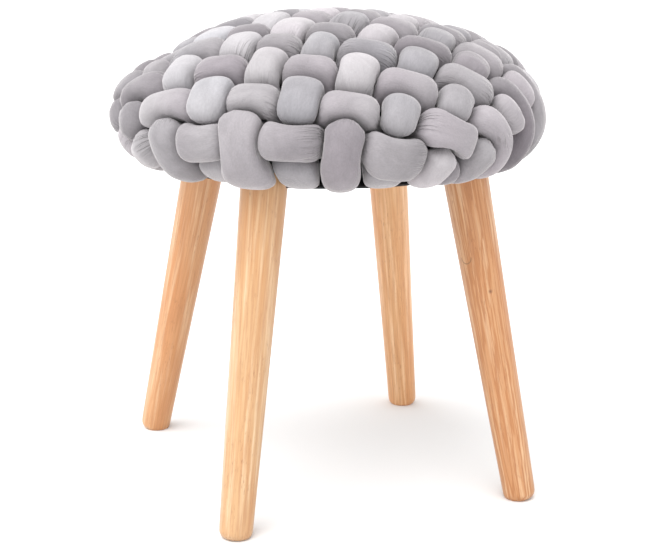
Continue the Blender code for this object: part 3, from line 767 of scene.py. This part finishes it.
def make_bottom_cloth():
    """black cloth pulled flat under the seat, cut out round the legs, with a light sag"""
    turns = np.arange(CLOTH_RAYS) * 2 * np.pi / CLOTH_RAYS
    edge = np.full(CLOTH_RAYS, CLOTH_RADIUS)
    for _, turn, reach in LEGS:
        part = CLOTH_Z / LEG_TOP_Z
        out = reach + (LEG_SPREAD_TOP - reach) * part
        hole = leg_radius(part) + HOLE_EASE
        off = out * np.sin(turns - math.radians(turn))
        ahead = out * np.cos(turns - math.radians(turn))
        hit = (np.abs(off) < hole) & (ahead > 0)
        edge[hit] = np.minimum(edge[hit], ahead[hit] - np.sqrt(hole**2 - off[hit] ** 2))
    part = np.linspace(0, 1, CLOTH_RINGS + 1)[1:, None]
    pull = waves(6, 7, 0.35)(turns) * CLOTH_PULL * part**5
    low = CLOTH_Z - CLOTH_SAG * (1 - part**2) + pull
    sheets = []
    for height in (low + CLOTH_THICKNESS, low):
        flat = np.stack(np.broadcast_arrays(edge * part * np.cos(turns),
                                            edge * part * np.sin(turns), height), axis=-1)
        sheets += flat.reshape(-1, 3).tolist()
        sheets.append([0, 0, float(height[0].mean())])
    count = CLOTH_RINGS * CLOTH_RAYS + 1
    faces = []
    for side in range(CLOTH_RAYS):
        after = (side + 1) % CLOTH_RAYS
        faces.append((count - 1, side, after))
        faces.append((2 * count - 1, count + after, count + side))
        for ring in range(CLOTH_RINGS - 1):
            one, two = ring * CLOTH_RAYS, (ring + 1) * CLOTH_RAYS
            faces.append((one + side, two + side, two + after, one + after))
            faces.append((count + one + after, count + two + after, count + two + side,
                          count + one + side))
        last = (CLOTH_RINGS - 1) * CLOTH_RAYS
        faces.append((last + side, count + last + side, count + last + after, last + after))
    mesh = bpy.data.meshes.new("bottom_cloth_black")
    mesh.from_pydata(sheets, [], faces)
    mesh.shade_smooth()
    mesh.set_sharp_from_angle(angle=SHARP_EDGE)
    item = bpy.data.objects.new("bottom_cloth_black", mesh)
    item.location = (*MIDDLE, 0)
    step = 2 * np.pi / CLOTH_RAYS
    return item, float((edge**2).sum() * step / 2)


def leg_frame(turn, reach):
    away = Vector((math.cos(math.radians(turn)), math.sin(math.radians(turn)), 0))
    axis = away * (LEG_SPREAD_TOP - reach) + Vector((0, 0, LEG_TOP_Z))
    lean = axis.to_track_quat("Z", "Y").to_matrix().to_4x4()
    return Matrix.Translation(Vector((*MIDDLE, 0)) + away * reach) @ lean, axis.length


def leg_radius(part):
    return LEG_FOOT_RADIUS + (LEG_TOP_RADIUS - LEG_FOOT_RADIUS) * part


def make_leg(name, turn, reach):
    """a turned leg with a rounded foot, cut level at the floor and under the base"""
    matrix, length = leg_frame(turn, reach)
    foot = leg_radius(0.0)
    profile = [(0.0, length * BEFORE_CUT)]
    parts = np.linspace(BEFORE_CUT, ROUNDING_FROM, LEG_ROWS)
    profile += [(leg_radius(part), length * part) for part in parts]
    for k in range(FOOT_STEPS + 1):
        angle = k / FOOT_STEPS * math.pi / 2
        profile.append((foot - LEG_ROUNDING * (1 - math.cos(angle)),
                        LEG_ROUNDING * (1 - math.sin(angle)) - LEG_SINK))
    profile.append((0.0, -LEG_SINK))
    leg = turned(name + "_wood", profile, LEG_SIDES)
    shape = bmesh.new()
    shape.from_mesh(leg.data)
    back = matrix.inverted()
    for level, sign in ((0.0, -1), (LEG_TOP_Z, 1)):
        normal = (back.to_3x3() @ Vector((0, 0, sign))).normalized()
        everything = shape.verts[:] + shape.edges[:] + shape.faces[:]
        cut = bmesh.ops.bisect_plane(shape, geom=everything, plane_no=normal, clear_outer=True,
                                     plane_co=back @ Vector((0, 0, level)))
        edges = [item for item in cut["geom_cut"] if isinstance(item, bmesh.types.BMEdge)]
        bmesh.ops.contextual_create(shape, geom=edges)
    shape.to_mesh(leg.data)
    shape.free()
    grain = np.empty(3 * len(leg.data.vertices), np.float32)
    leg.data.vertices.foreach_get("co", grain)
    put(leg.data, "grain", "FLOAT_VECTOR", "vector", grain)
    leg.data.transform(matrix)
    return leg


# --- floor, light and camera ----------------------------------------------------------------

CAMERA_PLACE = (-0.4855, -1.3096, 0.5616)
CAMERA_HEADING = 69.90  # degrees from +X
CAMERA_DOWN = 14.93
CAMERA_ROLL = 0.11
FOCAL_PIXELS = 1513.75
PICTURE_WIDTH = 650
SENSOR = 36.0
SKY_STRENGTH = 1.25
KEY_LIGHT = (205.0, 66.0, 3.0, 60.0)  # heading and height in degrees, strength, softness
FLOOR_REACH = 60
FLOOR_WHITE = 0.80


def link(item):
    bpy.context.scene.collection.objects.link(item)
    return item


def make_camera():
    camera = bpy.data.cameras.new("camera")
    camera.sensor_width = SENSOR
    camera.lens = FOCAL_PIXELS * SENSOR / PICTURE_WIDTH
    camera.clip_start = 0.05
    item = link(bpy.data.objects.new("camera", camera))
    heading, down = math.radians(CAMERA_HEADING), math.radians(CAMERA_DOWN)
    ahead = Vector((math.cos(heading) * math.cos(down), math.sin(heading) * math.cos(down),
                    -math.sin(down)))
    turn = ahead.to_track_quat("-Z", "Y").to_matrix().to_4x4()
    roll = Matrix.Rotation(math.radians(CAMERA_ROLL), 4, "Z")
    item.matrix_world = Matrix.Translation(CAMERA_PLACE) @ turn @ roll
    bpy.context.scene.camera = item


def make_sun(name, heading, height, strength, softness):
    """a broad soft light from that direction, in degrees"""
    light = bpy.data.lights.new(name, "SUN")
    light.energy = strength
    light.angle = math.radians(softness)
    item = link(bpy.data.objects.new(name, light))
    heading, height = math.radians(heading), math.radians(height)
    toward = Vector((math.cos(heading) * math.cos(height), math.sin(heading) * math.cos(height),
                     math.sin(height)))
    item.rotation_mode = "QUATERNION"
    item.rotation_quaternion = toward.to_track_quat("Z", "Y")


def make_studio():
    world = bpy.data.worlds.new("studio")
    world.use_nodes = True
    sky = world.node_tree.nodes["Background"].inputs
    sky["Color"].default_value = (1.0, 1.0, 1.0, 1.0)
    sky["Strength"].default_value = SKY_STRENGTH
    bpy.context.scene.world = world
    make_sun("key", *KEY_LIGHT)
    mesh = bpy.data.meshes.new("floor")
    far = FLOOR_REACH
    corners = [(-far, -far, 0), (far, -far, 0), (far, far, 0), (-far, far, 0)]
    mesh.from_pydata(corners, [], [(0, 1, 2, 3)])
    floor = link(bpy.data.objects.new("floor", mesh))
    paint = Shader("floor")
    mesh.materials.append(paint.finish(Base_Color=(FLOOR_WHITE, FLOOR_WHITE, FLOOR_WHITE, 1),
                                       Roughness=0.95, Specular_IOR_Level=0.0))
    bpy.context.scene.view_settings.view_transform = "Standard"


# --- all together ---------------------------------------------------------------------------


def main():
    make_camera()
    make_studio()
    soft = velvet()
    tubes = weave()
    for tube in tubes:
        piece = link(loft(tube, tubes))
        piece.data.materials.append(soft)
        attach(piece, "root")
        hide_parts(tube.name)
    black = black_cloth()
    base = link(make_base())
    base.data.materials.append(black)
    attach(base, "root")
    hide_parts("seat_base")
    bottom, area = make_bottom_cloth()
    link(bottom)
    bottom.data.materials.append(black)
    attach(bottom, "root")
    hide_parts("bottom_cloth")
    for (name, turn, reach), look in zip(LEGS, WOOD_LOOKS):
        leg = link(make_leg(name, turn, reach))
        leg.data.materials.append(wood(name + "_grain", *look))
        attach(leg, "root")
        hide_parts(name)


main()
